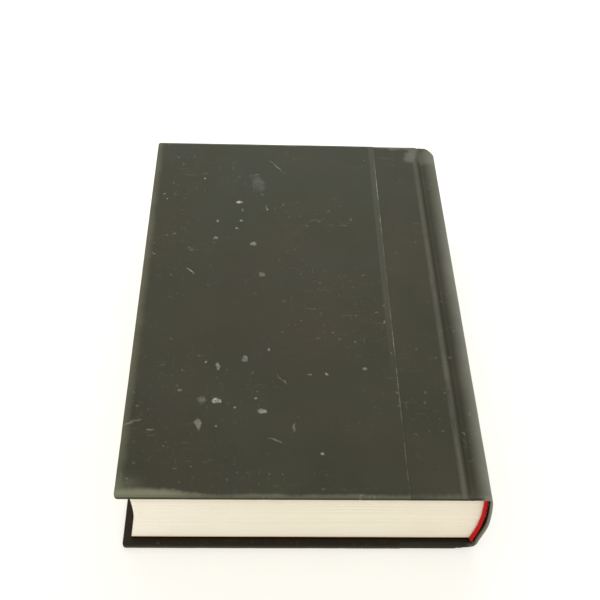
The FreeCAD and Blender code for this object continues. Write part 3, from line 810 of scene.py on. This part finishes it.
for (side, is_front), marks, rubbed in zip(sides, (back_marks, front_marks), ((22, 1.0), (12, 0.4))):
    paper = covering_paper(f"{side}_covering_paper", is_front)
    paper.data.materials.append(paper_finish(f"{side}_paper", marks, rubbed))
    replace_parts(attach(paper, f"{side}_cover"), f"{side}_side_paper")

# The bands at head and tail: red silk wound over a round core, worked close along the back of the
# leaves, with a tape glued down behind them. Each winding is a loop of its own.
band_width = 2.7 * MM
band_height = 1.5 * MM
band_inset = 1.2 * MM
band_out = 0.5 * MM
thread_round = 0.3 * MM
winding_count = 62
tape_length = 10 * MM
tape_gap, tape_thick = 0.03 * MM, 0.21 * MM
layer_inset = 2.5 * MM


def behind_leaves(name, gap, thick, low_y, high_y):
    """A layer of that thickness that follows the back of the leaves, that gap behind it."""
    heights = [(leaf_top - layer_inset) * (index / 10 - 1) for index in range(21)]
    places = [low_y + (high_y - low_y) * index / 16 for index in range(17)]
    grids = [[[Vector((back_of_leaves(height) + off, y, leaf_middle + height)) for y in places]
              for height in heights] for off in (gap + thick, gap)]
    return closed_sheet(name, *grids)


def joined(first, second):
    """The first piece with the second one's mesh in it."""
    mesh = bmesh.new()
    for piece in (first, second):
        mesh.from_mesh(piece.data)
    mesh.to_mesh(first.data)
    mesh.free()
    bpy.data.objects.remove(second)
    return first


def silk_finish():
    """Red silk thread with a soft gloss along its strands."""
    material, nodes, place = finish_named("band_silk")
    strands = nodes.grain(place, (1500, 1500, 9000), detail=2.0)
    faded = nodes.grain(place, 180, seed=3.0)
    colour = nodes.mix(strands, paint(212, 18, 12), paint(174, 7, 6))
    colour = nodes.mix(nodes.step(faded, 0.5, 0.8) * 0.3, colour, paint(222, 34, 22))
    cover_with(nodes, strands, 0.04 * MM, Base_Color=colour, Roughness=0.6, Specular_IOR_Level=0.2)
    return material


band_tree, nodes, size = pattern("band_windings", "Windings", "Thread", "Deep", "High", "Half", "Round",
                                 "Round X", "Round Z", "Side")
ends = {"Start": nodes.vector(z=size["Half"] * -1.0), "End": nodes.vector(z=size["Half"])}
run = nodes.add("GeometryNodeCurvePrimitiveLine", ends)
run = nodes.add("GeometryNodeResampleCurve", {"Curve": run, "Count": size["Windings"]})
height = axes_of(nodes, nodes.add("GeometryNodeInputPosition"))[2]
bent = nodes.vector(bowed(size, height), size["Side"], height)
run = nodes.add("GeometryNodeSetPosition", {"Geometry": run, "Position": bent})
core_profile = nodes.add("GeometryNodeCurvePrimitiveCircle", {"Resolution": 10, "Radius": 1.0})
flattened = nodes.vector(size["High"], size["Deep"], 1.0)
core_profile = nodes.add("GeometryNodeTransform", {"Geometry": core_profile, "Scale": flattened})
core = nodes.add("GeometryNodeCurveToMesh", {"Curve": run, "Profile Curve": core_profile,
                                             "Fill Caps": True})
thread = nodes.add("GeometryNodeCurvePrimitiveCircle", {"Resolution": 6, "Radius": size["Thread"]})
loop = nodes.add("GeometryNodeCurvePrimitiveCircle", {"Resolution": 14, "Radius": 1.0})
loop = nodes.add("GeometryNodeTransform", {"Geometry": loop, "Scale": flattened})
loop = nodes.add("GeometryNodeCurveToMesh", {"Curve": loop, "Profile Curve": thread})
tangent = nodes.add("GeometryNodeInputTangent")
facing = nodes.add("FunctionNodeAlignRotationToVector", {"Vector": tangent}, axis="Z")
wobble = nodes.add("FunctionNodeRandomValue", {2: 0.92, 3: 1.06, "Seed": 3}, out=1, data_type="FLOAT")
windings = nodes.add("GeometryNodeInstanceOnPoints", {"Points": run, "Instance": loop,
                                                      "Rotation": facing, "Scale": wobble})
both = nodes.add("GeometryNodeJoinGeometry", {"Geometry": windings})
nodes.tree.links.new(core.socket, both.socket.node.inputs["Geometry"])
end_pattern(nodes, both, silk_finish())
for name, end in (("head", 1), ("tail", -1)):
    band = made_by(band_tree, f"{name}_silk_band", {
        "Windings": winding_count,
        "Thread": thread_round,
        "Deep": band_width / 2 - thread_round,
        "High": band_height / 2 - thread_round,
        "Half": leaf_top - band_inset,
        "Round": leaf_round,
        "Round X": back_middle + leaf_x - band_width / 2 + band_out,
        "Round Z": leaf_z,
        "Side": end * (block_high.y + band_height / 2),
    })
    band.data.transform(Matrix.Translation((0, 0, leaf_middle)))
    for polygon in band.data.polygons:
        polygon.use_smooth = True
    tape_ends = sorted((end * (block_high.y + band_height / 2), end * (block_high.y - tape_length)))
    band = joined(band, behind_leaves(f"{name}_tape", tape_gap, tape_thick, *tape_ends))
    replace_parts(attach(band, "root"), f"{name}_band")

# The endpapers: one folded sheet of plain stout paper at each end. Its free half lies on the leaves and
# is folded back at the spine; the other half is pasted down on the board, over turn-ins and gauze.
pastedown = 0.2 * MM
sheet_half = 0.085 * MM
gauze_step = 0.2 * MM
wave_height = 0.03 * MM
inner_face = side_paper + board
board_x = -hinge_gap
flange_width = 25 * MM
gauze_x = board_x - flange_width
gauze_end = block_high.y - 12 * MM
field_x = turn_in - reach
field_y = case_end - turn_in
paste_set = 4 * MM
paste_x = paste_set - reach
paste_y = case_end - paste_set
fold_x = 2.5 * MM


def stock_finish(name, light, dark, fibres, relief, gap_shadow_and_soil_end=None):
    """Plain paper or board with visible fibres; its lower cut edges near the ends can get a painted gap
    shadow, partly soil.
    """
    material, nodes, place = finish_named(name)
    flecks = nodes.grain(place, (fibres, fibres * 2.5, fibres), detail=4.0, rough=0.6)
    clouds = nodes.grain(place, 25, seed=2.0)
    colour = nodes.mix(flecks, light, dark)
    colour = nodes.mix(nodes.step(clouds, 0.4, 0.8) * 0.3, colour, dark)
    if gap_shadow_and_soil_end:
        _, along, height = axes_of(nodes, place)
        # Painted shadow, partly soil, on the low cut edges at the ends, where they lie in the gap under
        # the leaves.
        gap_shadow_and_soil = nodes.step(nodes.maths("ABSOLUTE", along), gap_shadow_and_soil_end - 0.4 * MM, gap_shadow_and_soil_end - 0.1 * MM)
        colour = nodes.mix(gap_shadow_and_soil * nodes.step(height, 5 * MM, 4.5 * MM), colour, paint(24, 13, 7))
    cover_with(nodes, flecks, relief * MM, Base_Color=colour, Roughness=0.88, Specular_IOR_Level=0.15)
    return material


def pasted_depth(x, y):
    """How deep the pasted half lies under the cover's outer face: it steps over what is under it."""
    over_turned = 1 - eased(min(x - field_x, field_y - abs(y)) / (1.4 * MM))
    over_joint = eased((x - board_x) / MM + 1)
    over_gauze = eased((x - gauze_x) / (0.9 * MM)) * eased((gauze_end - abs(y)) / (0.9 * MM) + 1)
    step = max(side_paper * max(over_turned, over_joint), gauze_step * over_gauze)
    return inner_face + step + wave_height * (1 + noise.noise(Vector((x * 90, y * 90, 4))))


def fine_places(start, stop, near, count):
    """Places from start to stop, with the given ones in mm from the start set close together."""
    return [start + away * MM for away in near] + [
        start + near[-1] * MM + (stop - start - near[-1] * MM) * index / count
        for index in range(1, count + 1)
    ]


def pasted_half(name, is_front):
    """The half of the endpaper that is pasted to the board, as far as the joint."""
    steps = (0, 3, 6, 9, 10.4, 10.8, 11.2, 11.6, 12.0, 12.4, 13.5)
    columns = fine_places(paste_x, gauze_x - 0.4 * MM, steps, 14)[:-1]
    columns += fine_places(gauze_x - 0.4 * MM, board_x - 1.4 * MM, (0, 0.4, 0.6, 0.8, 1.0, 1.3, 2), 6)[:-1]
    joint = [1.4 + 0.1 * index for index in range(18)]
    columns += fine_places(board_x - 1.4 * MM, fold_x, [0, 0.5, 0.8, 1.1] + joint, 5)
    lower = fine_places(-paste_y, 0.0, steps, 12)
    rows = lower + [-y for y in reversed(lower[:-1])]
    grids = [[[turned_over(hinge_x + x, y, book_thick - pasted_depth(x, y) - off, is_front)
               for y in rows] for x in columns] for off in (0, pastedown * 0.7)]
    return closed_sheet(name, *grids)


def free_half(name, is_front):
    """The free half on the leaves, with its fold at the spine and the strip back to the joint."""
    spine_edge = back_of_leaves(-leaf_top if is_front else leaf_top)
    fore_edge = spine_edge - block_width
    level = block_high.z + pastedown / 2
    radius = pastedown / 2
    line = [(fore_edge + (spine_edge - radius - fore_edge) * index / 24, level, -math.pi / 2)
            for index in range(24)]
    for index in range(9):
        turn = math.pi * (index / 8 - 0.5)
        line.append((spine_edge - 2 * radius + radius * math.cos(turn),
                     level + radius + radius * math.sin(turn), turn))
    end_x = hinge_x + fold_x
    line += [(spine_edge - 2 * radius + (end_x - spine_edge + 2 * radius) * index / 4, level + 2 * radius,
              math.pi / 2) for index in range(1, 5)]
    places = [block_high.y * (index / 12 - 1) for index in range(25)]
    grids = [[[turned_over(x + off * math.cos(turn), y, z + off * math.sin(turn), is_front)
               for y in places] for x, z, turn in line] for off in (sheet_half, -sheet_half)]
    return closed_sheet(name, *grids)


endpaper_finish = stock_finish("endpaper", paint(244, 238, 222), paint(232, 223, 201), 260, 0.03,
                               block_high.y)
for side, is_front in sides:
    pasted = pasted_half(f"{side}_pasted_endpaper", is_front)
    free = free_half(f"{side}_free_endpaper", is_front)
    for piece, node in ((pasted, f"{side}_pastedown"), (free, f"{side}_flyleaf")):
        piece.data.materials.append(endpaper_finish)
        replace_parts(piece, node)
    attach(free, "root")
    bend_at_joint(pasted)

# The gauze: open starched muslin glued over the sewn back and on to both boards. It is cut here where
# it crosses the joints.
gauze_gap, flange_gap, gauze_thick = 0.04 * MM, 0.01 * MM, 0.16 * MM


def gauze_finish():
    """Open weave: two sets of off-white threads with holes between them."""
    material, nodes, place = finish_named("gauze")
    _, along, _ = axes_of(nodes, place)
    uneven = nodes.grain(place, 300) * 0.8 * MM
    across = nodes.add("ShaderNodeVectorMath", {0: place, 1: (1, 0, 1)}, out=1, operation="DOT_PRODUCT")
    weft, warp = [nodes.maths("SINE", (line + uneven) * 5200) for line in (along, across)]
    threads = nodes.step(nodes.maths("MAXIMUM", weft, warp), -0.2, 0.1)
    colour = nodes.mix(nodes.grain(place, 900), paint(232, 226, 212), paint(204, 196, 178))
    cover_with(nodes, threads, 0.1 * MM, Base_Color=colour, Roughness=0.9, Specular_IOR_Level=0.15,
               Alpha=threads)
    return material


gauze = gauze_finish()
back_gauze = behind_leaves("back_gauze", gauze_gap, gauze_thick, -gauze_end, gauze_end)
back_gauze.data.materials.append(gauze)
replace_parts(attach(back_gauze, "root"), "spine_mull")
for side, is_front in sides:
    columns = [gauze_x + flange_width * index / 8 for index in range(9)]
    rows = [gauze_end * (index / 10 - 1) for index in range(21)]
    grids = [[[turned_over(hinge_x + x, y, book_thick - inner_face - flange_gap - off, is_front)
               for y in rows] for x in columns] for off in (0, gauze_thick)]
    flange = closed_sheet(f"{side}_gauze_flange", *grids)
    flange.data.materials.append(gauze)
    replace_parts(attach(flange, f"{side}_cover"), f"{side}_mull_flange")

# The card that stiffens the spine: a loose strip between the folded-in ends of the cloth. It follows
# the cloth around it, and is pulled in with it at the head cap.


def card_side(depth):
    """The strip's points at a depth below the cloth's outer side."""
    grid = []
    for index in range(33):
        height = shoulder_z * (index / 16 - 1)
        is_front = height < 0
        place = Vector((back_x + math.sqrt((back_round - depth) ** 2 - height ** 2), abs(height)))
        row = []
        for y in long_rows(case_end - side_paper):
            at, end_y = worn_shape(place, -y if is_front else y, is_front)
            row.append(turned_over(hinge_x + at.x, end_y, book_half + at.y, is_front))
        grid.append(row)
    return grid


spine_strip = closed_sheet("spine_strip", card_side(1.05 * cloth),
                           card_side(cloth + drawn_share * spine_card))
spine_strip.data.materials.append(stock_finish("spine_card", paint(150, 142, 126), paint(128, 120, 104),
                                               340, 0.05))
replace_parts(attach(spine_strip, "root"), "spine_card_strip")

# The boards, cut from thick greyboard, and the kraft paper glued over the gauze. All are plain and lie
# hidden, so the CAD solids stay, each in its own finish.
board_finish = stock_finish("greyboard", paint(168, 160, 146), paint(132, 124, 110), 300, 0.1)
kraft_finish = stock_finish("kraft_paper", paint(140, 108, 74), paint(116, 86, 56), 240, 0.04)
for name, finish in (("spine_lining", kraft_finish), ("front_board", board_finish),
                     ("back_board", board_finish)):
    node = frame["nodes"][name]
    node.data.materials.clear()
    node.data.materials.append(finish)

# The table top under the book, seamless and near white, a hair lower than the cover that lies on it.
floor_mesh = bpy.data.meshes.new("table_top")
floor_half, floor_drop = 3.0, 0.1 * MM
floor_corners = ((-1, -1), (1, -1), (1, 1), (-1, 1))
floor_mesh.from_pydata([(x * floor_half, y * floor_half, -floor_drop) for x, y in floor_corners], [],
                       [(0, 1, 2, 3)])
floor = placed("table_top", floor_mesh)
floor_material, nodes, place = finish_named("table_top")
tone = nodes.mix(nodes.grain(place, 6), paint(165, 165, 160), paint(163, 163, 157))
cover_with(nodes, nodes.grain(place, 900), 0.01 * MM, Base_Color=tone, Roughness=0.7,
           Emission_Color=(1.0, 0.977, 0.925, 1.0), Emission_Strength=0.64)
floor_mesh.materials.append(floor_material)

bpy.context.scene.view_settings.view_transform = "Standard"

# Studio light: a bright even surround and one large soft light above and behind, as over a light table.
world = bpy.data.worlds.new("studio")
world.use_nodes = True
surround = world.node_tree.nodes["Background"]
surround.inputs["Color"].default_value = (1.0, 0.99, 0.96, 1.0)
surround.inputs["Strength"].default_value = 1.0
bpy.context.scene.world = world
light_data = bpy.data.lights.new("behind", "AREA")
light_data.shape = "SQUARE"
light_data.size = 0.7
light_data.energy = 5.0
light = placed("behind", light_data)
light.location = (0.05, 0.75, 0.6)
light_aim = Vector((0, 0.1, 0.04))
light.rotation_euler = (light_aim - light.location).to_track_quat("-Z", "Y").to_euler()

# The camera stands at the tail end of the book and looks down on it, as in the photograph.
camera_data = bpy.data.cameras.new("camera")
camera_data.lens = 60
camera_data.sensor_width = 36
camera = placed("camera", camera_data)
yaw, tilt, roll = 0.05572, 0.81313, 0.05291
forward = Vector((math.sin(yaw) * math.cos(tilt), math.cos(yaw) * math.cos(tilt), -math.sin(tilt)))
level_right = Vector((math.cos(yaw), -math.sin(yaw), 0))
level_up = level_right.cross(forward)
right = level_right * math.cos(roll) + level_up * math.sin(roll)
up = level_up * math.cos(roll) - level_right * math.sin(roll)
camera_turn = Matrix((right, up, -forward)).transposed().to_4x4()
camera_place = (-0.02035, -0.3514, 0.4100)
camera.matrix_world = Matrix.Translation(camera_place) @ camera_turn
bpy.context.scene.camera = camera
